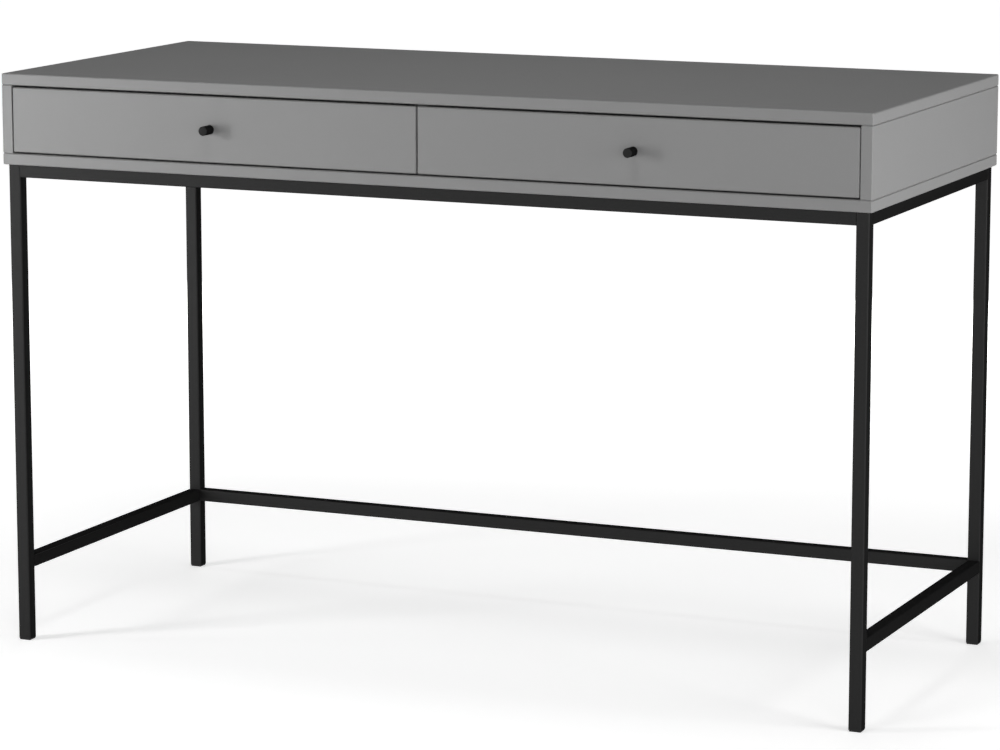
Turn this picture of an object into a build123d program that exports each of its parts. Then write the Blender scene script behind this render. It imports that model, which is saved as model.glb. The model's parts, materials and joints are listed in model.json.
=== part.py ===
from build123d import *
import os
from math import sqrt

# A writing desk: a flat lacquered body with two drawers side by side, standing on a slim frame of
# square steel tube. Millimetres. +X is to the sitter's right, +Y to the back, +Z up, and the
# origin lies on the floor under the middle of the whole desk, its knobs included.

# Overall sizes
WIDTH = 1200.0
DEPTH = 516.0  # worktop from front to back, without the knobs
HEIGHT = 763.0  # floor to worktop
BODY_HEIGHT = 120.0  # underside of the bottom panel to the worktop

# Boards of the body
BOARD = 15.0
EASING = 1.2  # chamfer along the lacquered arrises
BACK_THICKNESS = 3.0
BACK_INSET = 22.0  # back panel in from the rear edges, clear of the screws of the rear rail
BACK_GROOVE = 6.0  # depth of the groove that holds it
GROOVE_FIT = 0.2  # play of a panel in its groove
DIVIDER_HOUSING = 4.0  # depth the divider is let into the boards above and below
DIVIDER_GAP = 1.0  # drawer fronts to the divider behind them
TONGUE_THICKNESS = 4.0  # loose tongues that join the side panels to the boards above and below
TONGUE_DEPTH = 8.0  # depth of a tongue in each of its two boards
TONGUE_SETBACK = 40.0  # tongues in from the front edge and from the back panel
THREAD_ROOM = 0.1  # radial room round a driven thread

# Steel frame
TUBE = 17.0
TUBE_WALL = 1.5
TUBE_ROUNDING = 1.6
FRAME_INSET_SIDE = 5.0  # legs in from the sides of the body
FRAME_INSET_FRONT = 6.0
FRAME_INSET_BACK = 6.0
STRETCHER_HEIGHT = 98.0  # floor to the underside of the low stretchers
FOOT_PAD = 2.0  # head of an end plug, below the tube
FOOT_PAD_INSET = 1.0  # that head in from the faces of the tube
FOOT_STEM = 18.0  # stem of an end plug, up inside the tube
TUBE_FIT = 0.2  # play of a plug or spigot in the tube
SPIGOT_LENGTH = 30.0
FRAME_SCREW_DIAMETER = 6.0
FRAME_SCREW_HEAD = 10.0
FRAME_SCREW_HEAD_HEIGHT = 3.0
FRAME_SCREW_ACCESS = 0.5  # room round the head in the hole that it goes in by
FRAME_SCREW_BITE = 10.0  # length of thread in the bottom panel
FRAME_SCREW_END = 190.0  # screws in from the ends of the long rails

# Drawers
FRONT_GAP_SIDE = 1.5
FRONT_GAP_MIDDLE = 2.0
FRONT_GAP_TOP = 2.8
FRONT_GAP_BOTTOM = 2.3
FRONT_HOUSING = 6.0  # depth the drawer sides are let into the front
DRAWER_BOARD = 12.0
SIDE_HEIGHT = 70.0
BACK_HOUSING = 4.0  # depth the drawer back is let into the sides
BACK_SETBACK = 8.0  # drawer back in from the rear ends of the sides
DRAWER_BOTTOM = 3.0
BOTTOM_GROOVE = 5.0
BOTTOM_RISE = 10.0  # lower edge of a side to the groove of the bottom
DRAWER_TRAVEL = 330.0

# Knobs
KNOB_DIAMETER = 12.0
KNOB_PROJECTION = 20.0
KNOB_CHAMFER = 0.8

# Roller runners, one each side of a drawer
RUNNER_SPACE = 12.5  # bay wall to drawer side
RUNNER_LENGTH = 450.0
RUNNER_SETBACK = 2.0  # front ends of the runners behind the drawer front
RUNNER_RISE = 4.0  # bay floor to the downturned lip of a cabinet runner
SHEET = 1.2  # thickness of the folded steel
BEND = 1.0  # how far a fold cuts its corner, at the middle of the sheet
CHANNEL_WIDTH = 10.0  # reach of the cabinet runner's flanges
CHANNEL_LIP = 3.0  # height of the lip turned down along the lower flange
CHANNEL_ROOM = 1.2  # drawer runner's flange to the cabinet runner's upper flange
FLANGE_WALL_GAP = 1.4  # edge of the drawer runner's flange to the cabinet runner's web
SEAT_WIDTH = 10.0  # flange under the lower edge of the drawer side
SEAT_RISE = 3.0  # lower flange of the cabinet runner to the underside of that flange
ROLLER_DIAMETER = 16.0
ROLLER_WIDTH = 7.0
ROLLER_SIDE_GAP = 0.2
ROLL_GAP = 0.2  # roller to the flange that it rolls on
ROLLER_HEADROOM = 1.0  # drawer roller to the flange of its own runner
AXLE_DIAMETER = 5.0
AXLE_CLEARANCE = 0.05  # radial running clearance of a roller on its stud
STUD_HEAD = 8.0
STUD_HEAD_HEIGHT = 1.2
FRONT_AXLE_SETBACK = 16.0  # cabinet roller from the front end of the runners
REAR_AXLE_SETBACK = 14.0  # drawer roller from the rear end of the runners
STOP_GAP = 0.5  # drawer roller to the stops, closed and fully open
OPEN_STOP_HEIGHT = 3.0  # tab in the lower flange that stops the open drawer
CLOSED_STOP_HEIGHT = 11.0  # tab at the rear end that stops the closed drawer

# Places in the whole desk
FRONT_Y = (KNOB_PROJECTION - DEPTH) / 2
BACK_Y = FRONT_Y + DEPTH
HALF_WIDTH = WIDTH / 2
BODY_Z = HEIGHT - BODY_HEIGHT
BAY_FLOOR = BODY_Z + BOARD
BAY_TOP = HEIGHT - BOARD
BAY_WALL = HALF_WIDTH - BOARD
BACK_PANEL_Y = BACK_Y - BACK_INSET - BACK_THICKNESS
FRONT_BACK_Y = FRONT_Y + BOARD

# Places in the frame
LEG_X = HALF_WIDTH - FRAME_INSET_SIDE - TUBE / 2
LEG_FRONT_Y = FRONT_Y + FRAME_INSET_FRONT + TUBE / 2
LEG_BACK_Y = BACK_Y - FRAME_INSET_BACK - TUBE / 2
RAIL_Z = BODY_Z - TUBE / 2
STRETCHER_Z = STRETCHER_HEIGHT + TUBE / 2
TUBE_BORE = TUBE - 2 * TUBE_WALL

# Places in a pair of runners: u from the bay wall, y from their front ends, z from the lip
FLANGE_Z = CHANNEL_LIP
ROLLER_RADIUS = ROLLER_DIAMETER / 2
REAR_AXLE_Y = RUNNER_LENGTH - REAR_AXLE_SETBACK
REAR_AXLE_Z = FLANGE_Z + ROLL_GAP + ROLLER_RADIUS
RIDE_Z = REAR_AXLE_Z + ROLLER_RADIUS + ROLLER_HEADROOM
FRONT_AXLE_Z = RIDE_Z - ROLL_GAP - ROLLER_RADIUS
CHANNEL_TOP = RIDE_Z + SHEET + CHANNEL_ROOM + SHEET
SEAT_Z = FLANGE_Z + SEAT_RISE
DRAWER_WEB = RUNNER_SPACE - SHEET
RUNNER_Y = FRONT_BACK_Y + RUNNER_SETBACK
RUNNER_Z = BAY_FLOOR + RUNNER_RISE
SIDE_Z = RUNNER_Z + SEAT_Z + SHEET
SIDE_REAR_Y = RUNNER_Y + RUNNER_LENGTH


def board(x, y, z):
    """A board between two limits along each axis, each a pair of low and high values."""
    size = [limits[1] - limits[0] for limits in (x, y, z)]
    middle = [(limits[0] + limits[1]) / 2 for limits in (x, y, z)]
    return Pos(*middle) * Box(*size)


def rod(diameter, length, axis, start):
    """A round bar of a length along +X, +Y or +Z from a starting point."""
    turn = {"x": Rot(0, 90, 0), "y": Rot(-90, 0, 0), "z": Rot(0, 0, 0)}[axis]
    low = (Align.CENTER, Align.CENTER, Align.MIN)
    return Pos(*start) * turn * Cylinder(diameter / 2, length, align=low)


def tube(length, axis, start):
    """A length of the frame's square tube along +X, +Y or +Z from the middle of one end."""
    plane = {"x": Plane.YZ, "y": Plane.ZX, "z": Plane.XY}[axis]
    section = RectangleRounded(TUBE, TUBE, TUBE_ROUNDING) - Rectangle(TUBE_BORE, TUBE_BORE)
    return Pos(*start) * extrude(plane * section, amount=length)


def group(solids):
    """Separate solids of one kind, kept together as one node."""
    return Compound(children=list(solids))


# Body of the desk


def eased(panel, shown):
    """A board with a fine chamfer along its shown edges. shown tells one from the middle of an edge."""
    return chamfer([edge for edge in panel.edges() if shown(edge.center())], EASING)


def tongues(play=0.0):
    """Loose tongues where the side panels meet the top and bottom, or with play their grooves."""
    half = (TONGUE_THICKNESS + play) / 2
    reach = TONGUE_DEPTH - GROOVE_FIT + play
    depth = (FRONT_Y + TONGUE_SETBACK - play, BACK_PANEL_Y - TONGUE_SETBACK + play)
    for middle in (BOARD / 2 - HALF_WIDTH, HALF_WIDTH - BOARD / 2):
        for joint in (BAY_FLOOR, BAY_TOP):
            yield board((middle - half, middle + half), depth, (joint - reach, joint + reach))


def frame_screw_places():
    """Where a frame screw goes up out of a long top rail, on the inner face of its upper wall."""
    end = LEG_X - TUBE / 2 - FRAME_SCREW_END
    for y in (LEG_FRONT_Y, LEG_BACK_Y):
        yield -end, y, BODY_Z - TUBE_WALL
        yield end, y, BODY_Z - TUBE_WALL


def frame_screw_shanks(room=0.0):
    """Shanks of the frame screws, or with room the holes for them."""
    length = TUBE_WALL + FRAME_SCREW_BITE + room
    for seat in frame_screw_places():
        yield rod(FRAME_SCREW_DIAMETER + 2 * room, length, "z", seat)


def frame_screws():
    """Screws that hold the body on the frame, with flat round heads inside the tube."""
    for (x, y, z), shank in zip(frame_screw_places(), frame_screw_shanks()):
        under = (x, y, z - FRAME_SCREW_HEAD_HEIGHT)
        yield shank + rod(FRAME_SCREW_HEAD, FRAME_SCREW_HEAD_HEIGHT, "z", under)


def frame_screw_access():
    """Holes in the lower wall of a long top rail, which the screws go in by."""
    for x, y, _ in frame_screw_places():
        yield rod(FRAME_SCREW_HEAD + 2 * FRAME_SCREW_ACCESS, TUBE / 2, "z", (x, y, BODY_Z - TUBE))


def back_panel(play=0.0):
    """The thin back, or with play the groove that runs round it."""
    reach = BACK_GROOVE - GROOVE_FIT + play
    across = BAY_WALL + reach
    depth = (BACK_PANEL_Y - play / 2, BACK_PANEL_Y + BACK_THICKNESS + play / 2)
    return board((-across, across), depth, (BAY_FLOOR - reach, BAY_TOP + reach))


def divider(play=0.0):
    """The upright between the drawers, or with play the housings for it above and below."""
    reach = DIVIDER_HOUSING - GROOVE_FIT + play
    half = (BOARD + play) / 2
    depth = (FRONT_BACK_Y + DIVIDER_GAP - play, BACK_PANEL_Y)
    return board((-half, half), depth, (BAY_FLOOR - reach, BAY_TOP + reach))


def carcass():
    """The boards of the body, by node name."""
    whole = (-HALF_WIDTH, HALF_WIDTH)
    depth = (FRONT_Y, BACK_Y)
    grooves = [*tongues(GROOVE_FIT), back_panel(GROOVE_FIT)]
    top = eased(board(whole, depth, (BAY_TOP, HEIGHT)), lambda place: True)
    bottom = eased(board(whole, depth, (BODY_Z, BAY_FLOOR)), lambda place: True)
    parts = {
        "top_panel": top - grooves - divider(GROOVE_FIT),
        "bottom_panel": bottom - grooves - divider(GROOVE_FIT) - list(frame_screw_shanks(THREAD_ROOM)),
        "centre_divider": divider(),
        "back_panel": back_panel(),
        "loose_tongues": group(tongues()),
        "frame_screws": group(frame_screws()),
    }
    for name, hand in (("left_side_panel", -1), ("right_side_panel", 1)):
        limits = sorted((hand * BAY_WALL, hand * HALF_WIDTH))
        side = board(limits, depth, (BAY_FLOOR, BAY_TOP))
        parts[name] = eased(side, lambda place: abs(place.X) > BAY_WALL + EASING) - grooves
    return parts


# Steel frame


def spigot(x, y, z, hand):
    """A square peg on the inner face of a leg, which the end of a long rail slides over."""
    size = TUBE_BORE - TUBE_FIT
    inward = SPIGOT_LENGTH * (0.5 if hand < 0 else -0.5)
    return Pos(x + inward, y, z) * Box(SPIGOT_LENGTH, size, size)


def foot_plug(x, y):
    """A square end plug: a pad on the floor and a stem up inside the leg."""
    pad = Rectangle(TUBE - 2 * FOOT_PAD_INSET, TUBE - 2 * FOOT_PAD_INSET)
    stem = Rectangle(TUBE_BORE - TUBE_FIT, TUBE_BORE - TUBE_FIT)
    plug = extrude(pad, amount=FOOT_PAD) + extrude(stem, amount=FOOT_PAD + FOOT_STEM)
    return Pos(x, y, 0) * plug


def steel_frame():
    """Legs, rails, stretchers and their fittings, by node name."""
    holes = [*frame_screw_shanks(THREAD_ROOM), *frame_screw_access()]
    inner = LEG_X - TUBE / 2
    side_run = LEG_BACK_Y - LEG_FRONT_Y - TUBE
    side_y = LEG_FRONT_Y + TUBE / 2
    parts = {}
    for side, hand in (("left", -1), ("right", 1)):
        x = hand * LEG_X
        for end, y in (("front", LEG_FRONT_Y), ("rear", LEG_BACK_Y)):
            parts[f"{end}_{side}_leg"] = tube(BODY_Z - FOOT_PAD, "z", (x, y, FOOT_PAD))
            parts[f"{end}_{side}_foot_plug"] = foot_plug(x, y)
        parts[f"{side}_top_rail"] = tube(side_run, "y", (x, side_y, RAIL_Z))
        parts[f"{side}_stretcher"] = tube(side_run, "y", (x, side_y, STRETCHER_Z))
    parts["front_top_rail"] = tube(2 * inner, "x", (-inner, LEG_FRONT_Y, RAIL_Z)) - holes
    parts["rear_top_rail"] = tube(2 * inner, "x", (-inner, LEG_BACK_Y, RAIL_Z)) - holes
    parts["rear_stretcher"] = tube(2 * inner, "x", (-inner, LEG_BACK_Y, STRETCHER_Z))
    bolted = ((LEG_FRONT_Y, RAIL_Z), (LEG_BACK_Y, RAIL_Z), (LEG_BACK_Y, STRETCHER_Z))
    pegs = [spigot(hand * inner, y, z, hand) for y, z in bolted for hand in (-1, 1)]
    parts["rail_spigots"] = group(pegs)
    return parts


# Roller runners, modelled for a left-hand bay wall


def folded(*corners):
    """A strip of sheet steel folded along corners of (u, z), as long as a runner."""
    places = [Vector(*corner) for corner in corners]
    line = [places[0]]
    for before, here, after in zip(places, places[1:], places[2:]):
        line.append(here + (before - here).normalized() * BEND)
        line.append(here + (after - here).normalized() * BEND)
    line.append(places[-1])
    normals = [(b - a).normalized().rotate(Axis.Z, 90) for a, b in zip(line, line[1:])]
    near, far = [], []
    for here, before, after in zip(line, normals[:1] + normals, normals + normals[-1:]):
        across = (before + after) * (SHEET / 2 / (1 + before.dot(after)))
        near.append(here + across)
        far.append(here - across)
    outline = Polyline(*near, *reversed(far), close=True)
    return extrude(Plane.XZ * make_face(outline), amount=-RUNNER_LENGTH)


def cabinet_runner():
    """Channel on the bay wall: two flanges, a downturned lip and stops for the drawer roller."""
    mid = SHEET / 2
    edge = CHANNEL_WIDTH - mid
    channel = folded(
        (edge, 0),
        (edge, FLANGE_Z - mid),
        (mid, FLANGE_Z - mid),
        (mid, CHANNEL_TOP - mid),
        (CHANNEL_WIDTH, CHANNEL_TOP - mid),
    )

    def stop(y, height):
        across = (mid + BEND, edge - BEND)
        return board(across, (y, y + SHEET), (FLANGE_Z - mid, FLANGE_Z + height))

    closed_y = REAR_AXLE_Y + ROLLER_RADIUS + STOP_GAP
    drop = ROLLER_RADIUS + ROLL_GAP - OPEN_STOP_HEIGHT
    open_y = REAR_AXLE_Y - DRAWER_TRAVEL - sqrt((ROLLER_RADIUS + STOP_GAP) ** 2 - drop**2) - SHEET
    return channel + stop(closed_y, CLOSED_STOP_HEIGHT) + stop(open_y, OPEN_STOP_HEIGHT)


def drawer_runner():
    """Strip on the drawer side: a seat under its edge, and a flange that rides the front roller."""
    mid = SHEET / 2
    web = DRAWER_WEB + mid
    return folded(
        (RUNNER_SPACE + SEAT_WIDTH, SEAT_Z + mid),
        (web, SEAT_Z + mid),
        (web, RIDE_Z + mid),
        (SHEET + FLANGE_WALL_GAP, RIDE_Z + mid),
    )


def roller(u, y, z):
    """A nylon roller with a plain bore."""
    bore = AXLE_DIAMETER + 2 * AXLE_CLEARANCE
    return rod(ROLLER_DIAMETER, ROLLER_WIDTH, "x", (u, y, z)) - rod(bore, ROLLER_WIDTH, "x", (u, y, z))


def stud(u, y, z, hand):
    """An axle stud on the face of a web at u, flared at its end to keep the roller on.

    hand is 1 where it points away from the bay wall, and -1 where it points to it.
    """
    reach = ROLLER_WIDTH + 2 * ROLLER_SIDE_GAP
    end = reach + STUD_HEAD_HEIGHT
    radius = AXLE_DIAMETER / 2
    outline = Polyline((0, 0), (0, radius), (reach, radius), (end, STUD_HEAD / 2), (end, 0), close=True)
    turned = revolve(make_face(outline), Axis.X)
    return Pos(u, y, z) * (turned if hand > 0 else mirror(turned, about=Plane.YZ))


def runner_set():
    """The pieces of one pair of runners in their own places: cabinet side, then drawer side."""
    front = (FRONT_AXLE_SETBACK, FRONT_AXLE_Z)
    rear = (REAR_AXLE_Y, REAR_AXLE_Z)
    return {
        "runner": cabinet_runner(),
        "roller": roller(SHEET + ROLLER_SIDE_GAP, *front),
        "stud": stud(SHEET, *front, 1),
        "drawer_runner": drawer_runner(),
        "drawer_roller": roller(DRAWER_WEB - ROLLER_SIDE_GAP - ROLLER_WIDTH, *rear),
        "drawer_stud": stud(DRAWER_WEB, *rear, -1),
    }


def on_wall(part, wall, hand):
    """A runner piece on a bay's left wall (hand 1) or, mirrored, on its right wall (hand -1)."""
    made = part if hand > 0 else mirror(part, about=Plane.YZ)
    return Pos(wall, RUNNER_Y, RUNNER_Z) * made


# Drawers


def drawer(name, bay, front):
    """One drawer's boards and knob by node name, between bay walls and behind a front of given limits."""
    box = (bay[0] + RUNNER_SPACE, bay[1] - RUNNER_SPACE)
    inside = (box[0] + DRAWER_BOARD, box[1] - DRAWER_BOARD)
    middle = (front[0] + front[1]) / 2
    front_z = (BAY_FLOOR + FRONT_GAP_BOTTOM, BAY_TOP - FRONT_GAP_TOP)
    knob_z = (front_z[0] + front_z[1]) / 2
    bottom_z = (SIDE_Z + BOTTOM_RISE, SIDE_Z + BOTTOM_RISE + DRAWER_BOTTOM)
    back_y = (SIDE_REAR_Y - BACK_SETBACK - DRAWER_BOARD, SIDE_REAR_Y - BACK_SETBACK)

    def bottom(play=0.0):
        reach = BOTTOM_GROOVE - GROOVE_FIT + play
        across = (inside[0] - reach, inside[1] + reach)
        depth = (FRONT_BACK_Y - reach, SIDE_REAR_Y + play)
        return board(across, depth, (bottom_z[0] - play / 2, bottom_z[1] + play / 2))

    def back(play=0.0):
        reach = BACK_HOUSING - GROOVE_FIT + play
        across = (inside[0] - reach, inside[1] + reach)
        depth = (back_y[0] - play / 2, back_y[1] + play / 2)
        return board(across, depth, (bottom_z[1] + GROOVE_FIT / 2, SIDE_Z + SIDE_HEIGHT))

    def side(limits, play=0.0):
        across = (limits[0] - play / 2, limits[1] + play / 2)
        depth = (FRONT_BACK_Y - FRONT_HOUSING + GROOVE_FIT - play, SIDE_REAR_Y)
        height = (SIDE_Z - play / 2, SIDE_Z + SIDE_HEIGHT + play / 2)
        return board(across, depth, height)

    def shaped_side(limits, outer):
        plain = side(limits)
        lower = plain.edges().filter_by(Axis.Y).group_by(Axis.Z)[0].sort_by(Axis.X)
        return chamfer(lower[outer], BEND) - [bottom(GROOVE_FIT), back(GROOVE_FIT)]

    left = (box[0], inside[0])
    right = (inside[1], box[1])
    panel = board(front, (FRONT_Y, FRONT_BACK_Y), front_z)
    panel = eased(panel, lambda place: place.Y < FRONT_BACK_Y - EASING)
    panel = panel - side(left, GROOVE_FIT) - side(right, GROOVE_FIT) - bottom(GROOVE_FIT)
    knob = rod(KNOB_DIAMETER, KNOB_PROJECTION, "y", (middle, FRONT_Y - KNOB_PROJECTION, knob_z))
    knob = chamfer(knob.edges().group_by(Axis.Y)[0], KNOB_CHAMFER)
    return {
        f"{name}_front": panel,
        f"{name}_left_side": shaped_side(left, 0),
        f"{name}_right_side": shaped_side(right, -1),
        f"{name}_back": back(),
        f"{name}_bottom": bottom(),
        f"{name}_knob": knob,
    }


def drawers():
    """Both drawers with the runners of their bays, by node name."""
    runners = runner_set()
    half_gap = FRONT_GAP_MIDDLE / 2
    half_divider = BOARD / 2
    outer_edge = BAY_WALL - FRONT_GAP_SIDE
    bays = {
        "left": ((-BAY_WALL, -half_divider), (-outer_edge, -half_gap)),
        "right": ((half_divider, BAY_WALL), (half_gap, outer_edge)),
    }
    parts = {}
    studs = []
    for name, (bay, front) in bays.items():
        parts |= drawer(f"{name}_drawer", bay, front)
        drawer_studs = []
        for side, wall, hand in (("left", bay[0], 1), ("right", bay[1], -1)):
            placed = {kind: on_wall(made, wall, hand) for kind, made in runners.items()}
            parts[f"{name}_bay_{side}_runner"] = placed["runner"]
            parts[f"{name}_bay_{side}_roller"] = placed["roller"]
            parts[f"{name}_drawer_{side}_runner"] = placed["drawer_runner"]
            parts[f"{name}_drawer_{side}_roller"] = placed["drawer_roller"]
            studs.append(placed["stud"])
            drawer_studs.append(placed["drawer_stud"])
        parts[f"{name}_drawer_roller_studs"] = group(drawer_studs)
    parts["bay_roller_studs"] = group(studs)
    return parts


# The whole desk, one file for each node
os.makedirs("parts", exist_ok=True)
for node, shape in (carcass() | steel_frame() | drawers()).items():
    export_step(shape, f"parts/{node}.step")
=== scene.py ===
"""The looks of a writing desk: a finish for every board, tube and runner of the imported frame, turned
knobs, and the small screws that its solids leave out, in a plain pale studio."""

import json
import logging
import math
from collections.abc import Callable, Iterable, Iterator
from dataclasses import dataclass
from enum import Enum
from functools import cache

import bpy
from mathutils import Matrix, Vector


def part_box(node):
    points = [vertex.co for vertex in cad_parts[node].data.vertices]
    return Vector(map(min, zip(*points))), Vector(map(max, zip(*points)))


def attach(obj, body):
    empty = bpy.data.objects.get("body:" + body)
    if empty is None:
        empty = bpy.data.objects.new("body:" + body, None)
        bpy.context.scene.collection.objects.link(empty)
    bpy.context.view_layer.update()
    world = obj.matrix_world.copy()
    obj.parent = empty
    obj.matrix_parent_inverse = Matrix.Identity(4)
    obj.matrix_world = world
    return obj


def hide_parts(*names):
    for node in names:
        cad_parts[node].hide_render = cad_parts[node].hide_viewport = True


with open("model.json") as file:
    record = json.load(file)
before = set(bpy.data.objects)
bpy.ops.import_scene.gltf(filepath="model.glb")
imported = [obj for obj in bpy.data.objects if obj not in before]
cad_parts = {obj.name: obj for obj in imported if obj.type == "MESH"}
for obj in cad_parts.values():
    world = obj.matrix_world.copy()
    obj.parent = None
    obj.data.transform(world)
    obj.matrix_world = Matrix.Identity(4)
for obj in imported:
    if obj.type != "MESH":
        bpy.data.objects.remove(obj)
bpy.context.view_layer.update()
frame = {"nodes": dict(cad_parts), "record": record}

log = logging.getLogger("desk")

MM = 0.001
NEAR = 0.01  # share of a length within which a place counts as lying at its end
UP = Vector((0, 0, 1))
BACK = Vector((0, 1, 0))
SMOOTH_ANGLE = math.radians(35)
SLOT_OF_NODE = {part["node"]: part["material_slot"] for part in frame["record"]["subparts"]}
FASTENER_SLOT = "zinc_plated_steel"
DESK = "desk"  # the body that stands still

Sockets = dict[str, bpy.types.NodeSocket]  # what feeds a shader, by the names of its inputs

# Finishes


def linear(colour: str) -> tuple[float, float, float, float]:
    """Turns an sRGB colour into linear light, by the curve of its standard.

    Args:
        colour: a hash and six hex digits.

    Returns:
        Linear red, green and blue, and an alpha of one.
    """
    shares = [int(colour[place : place + 2], 16) / 255 for place in (1, 3, 5)]
    red, green, blue = (s / 12.92 if s <= 0.04045 else ((s + 0.055) / 1.055) ** 2.4 for s in shares)
    return red, green, blue, 1.0


def per_metre(size: float) -> float:
    """Scale of a texture, in repeats per metre, whose features are a size in millimetres across."""
    return 1 / (size * MM)


def add_node(
    tree: bpy.types.NodeTree, kind: str, inputs: dict | None = None, **settings: object
) -> bpy.types.Node:
    """Adds one shader node with its settings and links.

    Args:
        tree: the node tree of a material or of the world.
        kind: Blender's name for the class of node.
        inputs: for each input socket, its value or the output socket that feeds it.
        settings: the node's own properties.

    Returns:
        The new node.
    """
    node = tree.nodes.new(kind)
    for name, value in settings.items():
        setattr(node, name, value)
    for name, value in (inputs or {}).items():
        if isinstance(value, bpy.types.NodeSocket):
            tree.links.new(value, node.inputs[name])
        else:
            node.inputs[name].default_value = value
    return node


@dataclass(frozen=True)
class Finish:
    """What a surface is made of, with sRGB colours and sizes in millimetres."""

    name: str
    colour: str
    drift: str  # colour that the surface drifts to in patches
    roughness: tuple[float, float]
    specular: float = 0.5
    ior: float = 1.5
    metallic: float = 0.0
    edge: str = "#ffffff"  # tint of the sheen, which on a metal shows at a low angle

    def paint(self, tree: bpy.types.NodeTree, place: bpy.types.NodeSocket) -> Sockets:
        """Adds the nodes of the surface's pattern.

        Args:
            tree: the node tree of the material.
            place: the place on the piece, in metres.

        Returns:
            What goes to the shader's input sockets.
        """
        raise NotImplementedError

    def textured(
        self,
        tree: bpy.types.NodeTree,
        shade: bpy.types.NodeSocket,
        relief: bpy.types.NodeSocket,
        depth: float,
        sunk: bool = False,
    ) -> Sockets:
        """Makes colour, gloss and relief out of patterns.

        Args:
            tree: the node tree of the material.
            shade: the pattern that the colour drifts with.
            relief: the pattern that the gloss and the height follow.
            depth: the height of the relief, in millimetres.
            sunk: whether the surface lies lower where the pattern is higher.

        Returns:
            What goes to the shader's input sockets.
        """
        tones = {"Fac": shade, "Color1": linear(self.colour), "Color2": linear(self.drift)}
        tone = add_node(tree, "ShaderNodeMixRGB", tones)
        low, high = self.roughness
        rough = add_node(tree, "ShaderNodeMapRange", {"Value": relief, "To Min": low, "To Max": high})
        bump = add_node(tree, "ShaderNodeBump", {"Height": relief, "Distance": depth * MM}, invert=sunk)
        return {
            "Base Color": tone.outputs["Color"],
            "Roughness": rough.outputs["Result"],
            "Normal": bump.outputs["Normal"],
        }

    @cache
    def material(self) -> bpy.types.Material:
        """Makes the finish's material, once.

        Returns:
            The material, the same one at every call.
        """
        made = bpy.data.materials.new(self.name)
        made.use_nodes = True
        tree = made.node_tree
        tree.nodes.clear()
        place = add_node(tree, "ShaderNodeTexCoord").outputs["Object"]
        constant = {
            "Metallic": self.metallic,
            "Specular IOR Level": self.specular,
            "Specular Tint": linear(self.edge),
            "IOR": self.ior,
        }
        shader = add_node(tree, "ShaderNodeBsdfPrincipled", constant | self.paint(tree, place))
        add_node(tree, "ShaderNodeOutputMaterial", {"Surface": shader.outputs["BSDF"]})
        return made


@dataclass(frozen=True)
class MattLacquer(Finish):
    """Lacquer sprayed on a sanded ground: even and matt, with a faint orange peel.

    The peel is drawn at two or three times its real size, so that it shows.
    """

    cloud: float = 240.0
    cloud_detail: float = 3.0
    peel: float = 2.4
    peel_detail: float = 2.0
    peel_depth: float = 0.006

    def paint(self, tree: bpy.types.NodeTree, place: bpy.types.NodeSocket) -> Sockets:
        """Clouds a little in colour, peels finely in relief.

        Args:
            tree: the node tree of the material.
            place: the place on the piece, in metres.

        Returns:
            What goes to the shader's input sockets.
        """
        scale = {"Vector": place, "Scale": per_metre(self.cloud), "Detail": self.cloud_detail}
        cloud = add_node(tree, "ShaderNodeTexNoise", scale).outputs["Fac"]
        scale = {"Vector": place, "Scale": per_metre(self.peel), "Detail": self.peel_detail}
        peel = add_node(tree, "ShaderNodeTexNoise", scale).outputs["Fac"]
        return self.textured(tree, cloud, peel, self.peel_depth)


@dataclass(frozen=True)
class PowderCoat(Finish):
    """Powder baked on steel: a dense fine grit, which breaks up any highlight.

    The grit is drawn at about twice its real size, so that it shows.
    """

    grit: float = 0.9
    grit_depth: float = 0.02

    def paint(self, tree: bpy.types.NodeTree, place: bpy.types.NodeSocket) -> Sockets:
        """Raises rounded grains, which drift in colour and gloss from the middle to the rim.

        Args:
            tree: the node tree of the material.
            place: the place on the piece, in metres.

        Returns:
            What goes to the shader's input sockets.
        """
        scale = {"Vector": place, "Scale": per_metre(self.grit)}
        cells = add_node(tree, "ShaderNodeTexVoronoi", scale, feature="SMOOTH_F1").outputs["Distance"]
        return self.textured(tree, cells, cells, self.grit_depth, sunk=True)


@dataclass(frozen=True)
class FineGrain(Finish):
    """A fine grain, as a mould leaves on plastic and a bath on plated steel: slightly uneven gloss."""

    texture: float = 0.6
    texture_detail: float = 4.0
    texture_depth: float = 0.01

    def paint(self, tree: bpy.types.NodeTree, place: bpy.types.NodeSocket) -> Sockets:
        """Spreads fine noise in colour, relief and gloss.

        Args:
            tree: the node tree of the material.
            place: the place on the piece, in metres.

        Returns:
            What goes to the shader's input sockets.
        """
        scale = {"Vector": place, "Scale": per_metre(self.texture), "Detail": self.texture_detail}
        noise = add_node(tree, "ShaderNodeTexNoise", scale).outputs["Fac"]
        return self.textured(tree, noise, noise, self.texture_depth)


@dataclass(frozen=True)
class Melamine(Finish):
    """Printed paper pressed on chipboard: a flat colour under a pearled press-plate texture."""

    pearl: float = 1.1
    pearl_softness: float = 0.6
    pearl_depth: float = 0.008

    def paint(self, tree: bpy.types.NodeTree, place: bpy.types.NodeSocket) -> Sockets:
        """Presses rounded pearls into a flat colour with faint specks.

        Args:
            tree: the node tree of the material.
            place: the place on the piece, in metres.

        Returns:
            What goes to the shader's input sockets.
        """
        scale = {"Vector": place, "Scale": per_metre(self.pearl), "Smoothness": self.pearl_softness}
        pearl = add_node(tree, "ShaderNodeTexVoronoi", scale, feature="SMOOTH_F1").outputs["Distance"]
        return self.textured(tree, pearl, pearl, self.pearl_depth)


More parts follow.
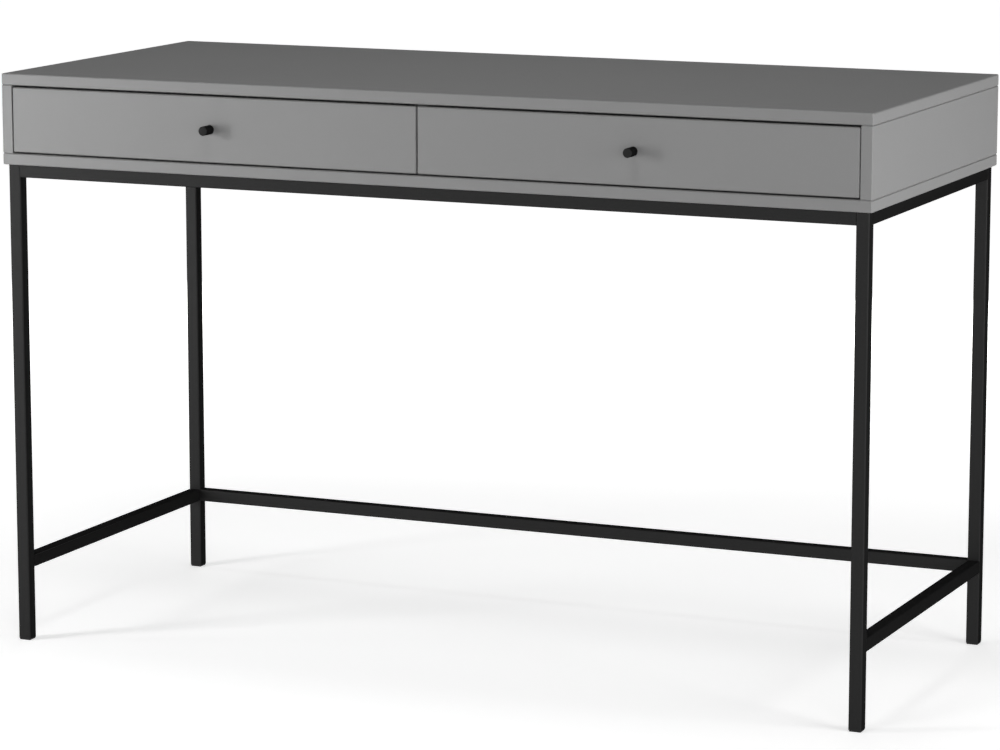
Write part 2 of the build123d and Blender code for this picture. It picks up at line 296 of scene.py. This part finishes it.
@dataclass(frozen=True)
class Fibres(Finish):
    """Pressed or peeled wood: long fibres that run one way in colour, gloss and relief."""

    fibre: float = 1.0
    slenderness: float = 14.0  # length of a fibre for its width
    fibre_detail: float = 5.0
    fibre_roughness: float = 0.65  # how strongly the finer fibres show
    fibre_depth: float = 0.02

    def paint(self, tree: bpy.types.NodeTree, place: bpy.types.NodeSocket) -> Sockets:
        """Draws noise out along X.

        Args:
            tree: the node tree of the material.
            place: the place on the piece, in metres.

        Returns:
            What goes to the shader's input sockets.
        """
        along = {"Vector": place, "Scale": (1 / self.slenderness, 1.0, 1.0)}
        scale = {
            "Vector": add_node(tree, "ShaderNodeMapping", along).outputs["Vector"],
            "Scale": per_metre(self.fibre),
            "Detail": self.fibre_detail,
            "Roughness": self.fibre_roughness,
        }
        fibre = add_node(tree, "ShaderNodeTexNoise", scale).outputs["Fac"]
        return self.textured(tree, fibre, fibre, self.fibre_depth)


# What each of the record's slots is finished in. The grit of a matt black coat shades itself when it is
# seen aslant, so the coat looks darkest there. Only a metal's sheen can be tinted dark at a low angle, so
# the black coats have part of their gloss as a metal does.
FINISHES: dict[str, Finish] = {
    # Boards of the body and drawer fronts: a flat mid grey with a broad dull sheen and no grain.
    "grey_lacquered_board": MattLacquer("matt_grey_lacquer", "#888888", "#848484", (0.5, 0.6)),
    # Back panel and bottoms of the drawers: about the same grey, printed, with pressed fibres showing.
    "grey_hardboard": Fibres("printed_hardboard", "#868686", "#7f7f7f", (0.6, 0.75), specular=0.3),
    # Sides and backs of the drawers: pale and even, with a slight pearled sheen.
    "light_grey_melamine": Melamine("pearled_melamine", "#b9b9b7", "#bfbfbd", (0.4, 0.55), specular=0.4),
    # Loose tongues: warm bare wood with a long grain.
    "beech": Fibres("birch_ply", "#c9a67a", "#b48c5f", (0.6, 0.75), specular=0.3, fibre=1.4),
    # Tubes and spigots of the frame: a near black, with a soft grey sheen where it faces the light.
    "black_powder_coated_steel": PowderCoat(
        "black_powder_coat",
        "#2b2b2b",
        "#323232",
        (0.5, 0.6),
        specular=0.0,
        metallic=0.68,
        edge="#000000",
    ),
    # Knobs: smoother and a little darker than the tubes.
    "black_lacquered_metal": MattLacquer(
        "matt_black_lacquer",
        "#272727",
        "#2b2b2b",
        (0.45, 0.55),
        specular=0.0,
        metallic=0.72,
        edge="#000000",
        cloud=20.0,
        peel=1.2,
        peel_depth=0.002,
    ),
    # Plugs in the feet: a dull black with no sparkle.
    "black_plastic": FineGrain("black_polyethylene", "#161616", "#1b1b1b", (0.5, 0.65), specular=0.4),
    # Screws and studs: a bright cool metal, blurred by the bath that it was plated in.
    "zinc_plated_steel": FineGrain(
        "bright_zinc_plate",
        "#c3c6c9",
        "#a9adb2",
        (0.22, 0.4),
        metallic=1.0,
        texture=0.8,
        texture_depth=0.002,
    ),
    # Runners: a warm white, smoother and glossier than the frame's coat.
    "white_coated_steel": PowderCoat(
        "white_epoxy_coat", "#e2e2de", "#e8e8e4", (0.32, 0.42), grit_depth=0.004
    ),
    # Rollers: a creamy white with a waxy gloss.
    "white_nylon": FineGrain("natural_nylon", "#dedcd2", "#e6e4da", (0.38, 0.5), texture_depth=0.004),
}

# Modelling


class Pick(Enum):
    """Which elements of a mesh an edit works on."""

    FACES = "FACE"
    EDGES = "EDGE"


def hold(piece: bpy.types.Object) -> bpy.types.Object:
    """Selects one object alone and makes it the active one.

    Args:
        piece: the object to select.

    Returns:
        The same object.
    """
    bpy.ops.object.select_all(action="DESELECT")
    piece.select_set(True)
    bpy.context.view_layer.objects.active = piece
    return piece


def pick(piece: bpy.types.Object, kind: Pick, test: Callable[[Vector], bool]) -> None:
    """Opens a piece in edit mode with some of its faces or edges selected.

    Args:
        piece: the object to edit.
        kind: faces or edges.
        test: tells from the middle of a face or an edge whether it is selected.
    """
    hold(piece)
    bpy.ops.object.mode_set(mode="EDIT")
    bpy.ops.mesh.select_mode(type=kind.value)
    bpy.ops.mesh.select_all(action="DESELECT")
    bpy.ops.object.mode_set(mode="OBJECT")
    mesh = piece.data
    if kind is Pick.FACES:
        for face in mesh.polygons:
            face.select = test(face.center)
    else:
        for edge in mesh.edges:
            ends = [mesh.vertices[index].co for index in edge.vertices]
            edge.select = test((ends[0] + ends[1]) / 2)
    bpy.ops.object.mode_set(mode="EDIT")


def done() -> None:
    """Leaves edit mode."""
    bpy.ops.object.mode_set(mode="OBJECT")


def settle(piece: bpy.types.Object, name: str, body: str, slot: str) -> None:
    """Finishes a new piece.

    Args:
        piece: the modelled object, in its place.
        name: the piece's name.
        body: the body that it rides on.
        slot: the record's slot whose finish it has.
    """
    hold(piece)
    bpy.ops.object.transform_apply(location=True, rotation=True, scale=True)
    bpy.ops.object.shade_smooth_by_angle(angle=SMOOTH_ANGLE)
    piece.name = name
    piece.data.name = name
    piece.data.materials.clear()
    piece.data.materials.append(FINISHES[slot].material())
    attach(piece, body)
    log.info("made %s on %s in %s", name, body, slot)


class Recess(Enum):
    """Drive of a screw."""

    CROSS = "cross"
    HEXAGON = "hexagon"


@dataclass
class Screw:
    """A screw modelled about the Z axis, its head up from zero. Millimetres."""

    head: float
    height: float
    rounding: float
    drive: Recess
    drive_width: float
    drive_depth: float
    shank: float = 0.0
    shank_length: float = 0.0
    blade_share: float = 0.24  # width of a cross's blades, as a share of its own width
    cutter_share: float = 2.0  # height of the cutter, as a share of the depth that it cuts
    segments: int = 32
    rounds: int = 4

    def model(self) -> bpy.types.Object:
        """Models one screw.

        Returns:
            The object of the screw, standing on the origin.
        """
        height = self.height * MM
        bpy.ops.object.select_all(action="DESELECT")
        bpy.ops.mesh.primitive_cylinder_add(
            vertices=self.segments,
            radius=self.head / 2 * MM,
            depth=height,
            location=(0, 0, height / 2),
        )
        screw = bpy.context.object
        bpy.ops.object.transform_apply(location=True)
        pick(screw, Pick.EDGES, lambda middle: middle.z > height * (1 - NEAR))
        bpy.ops.mesh.bevel(offset=self.rounding * MM, segments=self.rounds, affect="EDGES")
        done()
        if self.shank_length:
            pick(screw, Pick.FACES, lambda middle: middle.z < height * NEAR)
            bpy.ops.mesh.inset(thickness=(self.head - self.shank) / 2 * MM)
            down = (0, 0, -self.shank_length * MM)
            bpy.ops.mesh.extrude_region_move(TRANSFORM_OT_translate={"value": down})
            done()
        self.cut(screw, self.cutter())
        return screw

    def cutter(self) -> bpy.types.Object:
        """Models the solid that the drive is cut with, from the recess's floor to above the head.

        Returns:
            The object of the cutter.
        """
        depth = self.drive_depth * MM
        floor = Vector((0, 0, self.height * MM - depth))
        bpy.ops.object.select_all(action="DESELECT")
        cutter = self.hexagon(floor) if self.drive is Recess.HEXAGON else self.cross(floor)
        pick(cutter, Pick.FACES, lambda middle: True)
        rise = (0, 0, self.cutter_share * depth)
        bpy.ops.mesh.extrude_region_move(TRANSFORM_OT_translate={"value": rise})
        bpy.ops.mesh.select_all(action="SELECT")
        bpy.ops.mesh.normals_make_consistent(inside=False)
        done()
        return cutter

    def hexagon(self, floor: Vector) -> bpy.types.Object:
        """Draws the outline of a hexagon socket.

        Args:
            floor: the middle of the recess's floor, in metres.

        Returns:
            The object of one six-sided face.
        """
        bpy.ops.mesh.primitive_circle_add(
            vertices=6, radius=self.drive_width / 2 * MM, fill_type="NGON", location=floor
        )
        outline = bpy.context.object
        bpy.ops.object.transform_apply(location=True)
        return outline

    def cross(self, floor: Vector) -> bpy.types.Object:
        """Draws the outline of a cross recess: a square, with a blade drawn out of each side.

        Args:
            floor: the middle of the recess's floor, in metres.

        Returns:
            The object of the square and its four blades.
        """
        blade = self.drive_width * self.blade_share * MM
        arm = (self.drive_width * MM - blade) / 2
        bpy.ops.mesh.primitive_plane_add(size=blade, location=floor)
        outline = bpy.context.object
        bpy.ops.object.transform_apply(location=True)
        for way in (Vector((1, 0, 0)), Vector((-1, 0, 0)), Vector((0, 1, 0)), Vector((0, -1, 0))):
            root = floor + way * blade / 2
            pick(outline, Pick.EDGES, lambda middle, root=root: (middle - root).length < blade * NEAR)
            bpy.ops.mesh.extrude_region_move(TRANSFORM_OT_translate={"value": way * arm})
            done()
        return outline

    @staticmethod
    def cut(screw: bpy.types.Object, cutter: bpy.types.Object) -> None:
        """Cuts the drive out of the head and removes the cutter.

        Args:
            screw: the object of the screw.
            cutter: the solid that is taken out of its head.
        """
        hold(screw)
        bpy.ops.object.modifier_add(type="BOOLEAN")
        recess = screw.modifiers[-1]
        recess.operation = "DIFFERENCE"
        recess.solver = "EXACT"
        recess.object = cutter
        bpy.ops.object.modifier_apply(modifier=recess.name)
        bpy.data.objects.remove(cutter)

    def drive_in(self, places: Iterable[Vector], facing: Vector) -> bpy.types.Object:
        """Copies the screw to several places as one piece.

        Args:
            places: where the underside of each head lies, in metres.
            facing: the way that the heads face.

        Returns:
            The object of all the copies.
        """
        pattern = self.model()
        turn = UP.rotation_difference(facing).to_matrix().to_4x4()
        copies = []
        for place in places:
            copy = pattern.copy()
            copy.data = pattern.data.copy()
            copy.data.transform(Matrix.Translation(place) @ turn)
            bpy.context.scene.collection.objects.link(copy)
            copies.append(copy)
        bpy.data.objects.remove(pattern)
        joined = hold(copies[0])
        if len(copies) > 1:
            for copy in copies:
                copy.select_set(True)
            bpy.ops.object.join()
        return joined


# Sub-assemblies


def dress(names: Iterable[str]) -> None:
    """Gives CAD nodes the finishes of their slots.

    Args:
        names: the names of the nodes.
    """
    for name in names:
        slot = SLOT_OF_NODE[name]
        node = frame["nodes"][name]
        node.data.materials.clear()
        node.data.materials.append(FINISHES[slot].material())
        log.info("dressed %s in %s", name, slot)


@dataclass
class DeskBody:
    """The boards that hold the drawers, and the studs that the bays' rollers turn on."""

    boards: tuple[str, ...] = (
        "top_panel",
        "bottom_panel",
        "left_side_panel",
        "right_side_panel",
        "centre_divider",
        "back_panel",
        "loose_tongues",
    )
    studs: str = "bay_roller_studs"

    def build(self) -> None:
        """Dresses the boards and studs, which stay as the solids are."""
        dress([*self.boards, self.studs])


@dataclass
class SteelFrame:
    """The square-tube frame, with the screws that hold it together and to the body. Millimetres."""

    frame_screw: Screw
    set_screw: Screw
    set_screw_end: float = 15.0  # set screws in from the ends of a rail, at the middle of its spigot
    pieces: tuple[str, ...] = ("_leg", "_rail", "_stretcher", "_plug", "_spigots")  # ends of names
    long_rails: tuple[str, ...] = ("front_top_rail", "rear_top_rail", "rear_stretcher")

    def build(self) -> None:
        """Dresses the tubes and adds their screws."""
        dress(name for name in SLOT_OF_NODE if name.endswith(self.pieces))
        self.frame_screws()
        self.set_screws()

    def frame_screws(self) -> None:
        """Drives screws with cross-cut heads in place of the plain ones of the solids."""
        low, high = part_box("frame_screws")
        inset = self.frame_screw.head / 2 * MM
        seat = low.z + self.frame_screw.height * MM
        rows = (low.y + inset, high.y - inset)
        places = [Vector((x, y, seat)) for x in (low.x + inset, high.x - inset) for y in rows]
        screws = self.frame_screw.drive_in(places, -UP)
        settle(screws, "cross_headed_frame_screws", DESK, FASTENER_SLOT)
        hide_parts("frame_screws")

    def set_screws(self) -> None:
        """Drives set screws under the ends of the long rails, which lock them on their spigots."""
        end = self.set_screw_end * MM
        for rail in self.long_rails:
            low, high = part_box(rail)
            places = [Vector((x, (low.y + high.y) / 2, low.z)) for x in (low.x + end, high.x - end)]
            screws = self.set_screw.drive_in(places, -UP)
            settle(screws, f"{rail}_set_screws", DESK, FASTENER_SLOT)


class Bay(Enum):
    """One of the two bays that hold the drawers, with the word for it in the nodes' names."""

    LEFT = "left"
    RIGHT = "right"

    @property
    def drawer(self) -> str:
        """The body of the bay's drawer, whose name starts those of the drawer's nodes."""
        return f"{self.value}_drawer"


class Side(Enum):
    """A side of a bay or drawer, with the way from its wall to the drawer along X."""

    LEFT = 1
    RIGHT = -1

    @property
    def word(self) -> str:
        """The side as it stands in the nodes' names."""
        return self.name.lower()

    def outer(self, node: str) -> float:
        """X of the face of a node that is nearer to the bay wall."""
        low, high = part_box(node)
        return low.x if self is Side.LEFT else high.x


@dataclass
class Runner:
    """The folded runners on one side of a bay, with the screws in their webs. Millimetres."""

    bay: Bay
    side: Side
    screw: Screw
    sheet: float = 1.2
    first: float = 37.0  # first screw from the front end of a runner
    pitch: float = 192.0
    count: int = 3
    rise: float = 11.0  # screws above the lowest edge of a runner

    def build(self) -> None:
        """Dresses both runners and their rollers, and screws each runner to its board."""
        side = self.side.word
        bay_runner = f"{self.bay.value}_bay_{side}_runner"
        drawer_runner = f"{self.bay.drawer}_{side}_runner"
        rollers = [f"{self.bay.value}_{part}_{side}_roller" for part in ("bay", "drawer")]
        dress([bay_runner, drawer_runner, *rollers])
        inward = self.side.value * self.sheet * MM
        web = self.side.outer(bay_runner) + inward
        self.screw_down(bay_runner, web, self.side.value, DESK)
        web = self.side.outer(f"{self.bay.drawer}_{side}_side") - inward
        self.screw_down(drawer_runner, web, -self.side.value, self.bay.drawer)

    def screw_down(self, runner: str, web: float, facing: int, body: str) -> None:
        """Drives the screws of one runner.

        Args:
            runner: the node of the runner.
            web: X of the face that the heads lie on, in metres.
            facing: the sign of the way that the heads face along X.
            body: the body that the runner belongs to.
        """
        low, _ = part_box(runner)
        z = low.z + self.rise * MM
        rows = [low.y + (self.first + self.pitch * row) * MM for row in range(self.count)]
        screws = self.screw.drive_in([Vector((web, y, z)) for y in rows], Vector((facing, 0, 0)))
        settle(screws, f"{runner}_screws", body, FASTENER_SLOT)


@dataclass
class Drawer:
    """One drawer: its boards, its turned knob and the screw that holds it. Millimetres."""

    bay: Bay
    knob_screw: Screw
    knob_rounding: float = 0.9
    knob_foot: float = 0.3
    knob_segments: int = 96
    knob_rounds: int = 5
    pieces: tuple[str, ...] = ("front", "left_side", "right_side", "back", "bottom", "roller_studs")

    @property
    def body(self) -> str:
        """The body that the drawer's pieces ride on."""
        return self.bay.drawer

    def build(self) -> None:
        """Dresses the boards and studs, and adds the knob and its screw."""
        dress(f"{self.body}_{piece}" for piece in self.pieces)
        self.knob()
        self.screw()

    def knob(self) -> None:
        """Turns the knob: a cylinder with a softened front rim and a fine easing at its foot."""
        node = f"{self.body}_knob"
        low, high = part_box(node)
        length = high.y - low.y
        bpy.ops.object.select_all(action="DESELECT")
        bpy.ops.mesh.primitive_cylinder_add(
            vertices=self.knob_segments,
            radius=(high.x - low.x) / 2,
            depth=length,
            location=(low + high) / 2,
            rotation=(math.pi / 2, 0, 0),
        )
        knob = bpy.context.object
        bpy.ops.object.transform_apply(location=True, rotation=True)
        for rim, rounding in ((low.y, self.knob_rounding), (high.y, self.knob_foot)):
            pick(knob, Pick.EDGES, lambda middle, rim=rim: abs(middle.y - rim) < length * NEAR)
            bpy.ops.mesh.bevel(offset=rounding * MM, segments=self.knob_rounds, affect="EDGES")
            done()
        settle(knob, f"{self.body}_turned_knob", self.body, SLOT_OF_NODE[node])
        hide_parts(node)

    def screw(self) -> None:
        """Puts the knob's screw through the front from inside."""
        low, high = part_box(f"{self.body}_knob")
        middle = (low + high) / 2
        middle.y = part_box(f"{self.body}_front")[1].y
        screw = self.knob_screw.drive_in([middle], BACK)
        settle(screw, f"{self.body}_knob_screw", self.body, FASTENER_SLOT)


# Studio


@dataclass
class SoftBox:
    """A soft rectangular lamp that points at the desk. Metres and watts."""

    name: str
    place: Vector
    width: float
    height: float
    power: float
    aim: Vector = Vector((0.0, 0.0, 0.55))

    def build(self) -> None:
        """Adds the lamp."""
        lamp = bpy.data.lights.new(self.name, "AREA")
        lamp.shape = "RECTANGLE"
        lamp.size = self.width
        lamp.size_y = self.height
        lamp.energy = self.power
        box = bpy.data.objects.new(self.name, lamp)
        box.location = self.place
        box.rotation_euler = (self.aim - self.place).to_track_quat("-Z", "Y").to_euler()
        box.visible_camera = False
        bpy.context.scene.collection.objects.link(box)
        log.info("lit by %s", self.name)


def seen_rays(tree: bpy.types.NodeTree) -> bpy.types.NodeSocket:
    """Tells rays from the eye, in reflections and through glass from the light on matt surfaces.

    Args:
        tree: the node tree of the floor's material or of the world.

    Returns:
        The output socket that is one for such a ray, and nought for the rest.
    """
    rays = add_node(tree, "ShaderNodeLightPath").outputs
    seen = rays["Is Camera Ray"]
    for other in ("Is Glossy Ray", "Is Transmission Ray"):
        sum_of = {0: seen, 1: rays[other]}
        seen = add_node(tree, "ShaderNodeMath", sum_of, operation="ADD", use_clamp=True).outputs[0]
    return seen


@dataclass
class Studio:
    """A pale floor that runs out to a white backdrop, soft lamps and the camera. Metres, degrees."""

    floor_size: float = 80.0
    floor_colour: str = "#e6e6e6"
    floor_near: float = 0.9  # from the middle of the floor to where it starts to whiten
    floor_far: float = 2.4  # and to where it is white
    floor_glow_near: float = 0.56  # strength of the floor's own light to the eye, where one is white
    floor_glow_far: float = 1.0
    backdrop_colour: str = "#ffffff"
    backdrop_top: float = 0.06  # height of the white band of the backdrop, as the sine of its angle
    backdrop_end: float = 0.27  # height at which the band has faded out
    ambient: float = 0.3  # share of the backdrop's white that lights matt surfaces
    camera_place: Vector = Vector((2.0766, -4.7077, 1.2723))
    camera_turn: float = 23.75
    camera_dip: float = 10.01
    lens: float = 142.03  # millimetres, as the sensor's width is
    sensor: float = 36.0
    lamps: tuple[SoftBox, ...] = (
        SoftBox("left_strip_softbox", Vector((-2.1, -0.85, 0.72)), width=0.2, height=1.44, power=4.0),
        SoftBox("left_front_softbox", Vector((-1.9, -1.5, 0.8)), width=0.4, height=1.2, power=26.3),
        SoftBox("right_softbox", Vector((2.2, -0.45, 0.8)), width=1.0, height=1.0, power=19.0),
        SoftBox("front_softbox", Vector((2.4, -4.0, 1.1)), width=2.4, height=2.4, power=58.7),
        SoftBox("high_front_softbox", Vector((0.1, -1.2, 2.4)), width=0.4, height=0.4, power=6.1),
        SoftBox("overhead_softbox", Vector((0.0, 0.2, 3.0)), width=0.9, height=0.9, power=15.9),
        SoftBox("rear_softbox", Vector((-0.8, 3.0, 0.45)), width=2.4, height=0.7, power=50.0),
    )

    def build(self) -> None:
        """Sets up everything that is not part of the desk."""
        self.floor()
        self.backdrop()
        self.camera()
        bpy.context.scene.view_settings.view_transform = "Standard"
        for lamp in self.lamps:
            lamp.build()

    def floor(self) -> None:
        """Lays a plain floor that shows white, with the desk's shadow, to the eye and in reflections."""
        bpy.ops.object.select_all(action="DESELECT")
        bpy.ops.mesh.primitive_plane_add(size=self.floor_size)
        floor = bpy.context.object
        floor.name = "studio_floor"
        paint = bpy.data.materials.new("pale_floor")
        paint.use_nodes = True
        tree = paint.node_tree
        tree.nodes.clear()
        place = add_node(tree, "ShaderNodeTexCoord").outputs["Object"]
        away = add_node(tree, "ShaderNodeVectorMath", {0: place}, operation="LENGTH").outputs["Value"]
        fade = {
            "Value": away,
            "From Min": self.floor_near,
            "From Max": self.floor_far,
            "To Min": self.floor_glow_near,
            "To Max": self.floor_glow_far,
        }
        glow = add_node(tree, "ShaderNodeMapRange", fade, interpolation_type="SMOOTHSTEP")
        seen = {0: glow.outputs["Result"], 1: seen_rays(tree)}
        strength = add_node(tree, "ShaderNodeMath", seen, operation="MULTIPLY").outputs[0]
        matt = add_node(tree, "ShaderNodeBsdfDiffuse", {"Color": linear(self.floor_colour)})
        light = add_node(tree, "ShaderNodeEmission", {"Strength": strength})
        layers = {0: matt.outputs["BSDF"], 1: light.outputs["Emission"]}
        both = add_node(tree, "ShaderNodeAddShader", layers)
        add_node(tree, "ShaderNodeOutputMaterial", {"Surface": both.outputs["Shader"]})
        floor.data.materials.append(paint)
        log.info("laid %s", floor.name)

    def backdrop(self) -> None:
        """Makes the world white round the horizon to the eye and in reflections, and dark overhead."""
        world = bpy.data.worlds.new("studio_backdrop")
        world.use_nodes = True
        tree = world.node_tree
        tree.nodes.clear()
        way = add_node(tree, "ShaderNodeTexCoord").outputs["Generated"]
        height = add_node(tree, "ShaderNodeSeparateXYZ", {"Vector": way}).outputs["Z"]
        fade = {
            "Value": height,
            "From Min": self.backdrop_top,
            "From Max": self.backdrop_end,
            "To Min": 1.0,
            "To Max": 0.0,
        }
        glow = add_node(tree, "ShaderNodeMapRange", fade, interpolation_type="SMOOTHSTEP")
        seen = {"Value": seen_rays(tree), "To Min": self.ambient, "To Max": 1.0}
        share = add_node(tree, "ShaderNodeMapRange", seen)
        product_of = {0: glow.outputs["Result"], 1: share.outputs["Result"]}
        strength = add_node(tree, "ShaderNodeMath", product_of, operation="MULTIPLY").outputs[0]
        white = {"Color": linear(self.backdrop_colour), "Strength": strength}
        light = add_node(tree, "ShaderNodeBackground", white)
        add_node(tree, "ShaderNodeOutputWorld", {"Surface": light.outputs["Background"]})
        bpy.context.scene.world = world

    def camera(self) -> None:
        """Sets a long lens to the right of the desk and a little above it."""
        lens = bpy.data.cameras.new("camera")
        lens.lens = self.lens
        lens.sensor_width = self.sensor
        lens.sensor_fit = "HORIZONTAL"
        lens.clip_end = 2 * self.floor_size  # past the far edge of the floor
        camera = bpy.data.objects.new("camera", lens)
        camera.location = self.camera_place
        camera.rotation_euler = (math.radians(90 - self.camera_dip), 0, math.radians(self.camera_turn))
        bpy.context.scene.collection.objects.link(camera)
        bpy.context.scene.camera = camera


def sub_assemblies() -> Iterator[DeskBody | SteelFrame | Runner | Drawer]:
    """Lists the desk's sub-assemblies.

    Returns:
        The sub-assemblies, in the order they are built.
    """
    frame_screw = Screw(
        head=10.0,
        height=3.0,
        rounding=1.8,
        drive=Recess.CROSS,
        drive_width=5.4,
        drive_depth=1.6,
        shank=6.0,
        shank_length=11.5,
    )
    set_screw = Screw(
        head=5.0, height=0.4, rounding=0.1, drive=Recess.HEXAGON, drive_width=2.9, drive_depth=0.3
    )
    runner_screw = Screw(
        head=6.5, height=1.1, rounding=0.7, drive=Recess.CROSS, drive_width=3.6, drive_depth=0.7
    )
    knob_screw = Screw(
        head=8.0, height=2.6, rounding=1.6, drive=Recess.CROSS, drive_width=4.4, drive_depth=1.4
    )
    yield DeskBody()
    yield SteelFrame(frame_screw, set_screw)
    for bay in Bay:
        yield Drawer(bay, knob_screw)
        for side in Side:
            yield Runner(bay, side, runner_screw)


def main() -> None:
    """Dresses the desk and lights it."""
    logging.basicConfig(level=logging.INFO, format="%(name)s: %(message)s")
    for assembly in sub_assemblies():
        assembly.build()
    Studio().build()


if __name__ == "__main__":
    main()
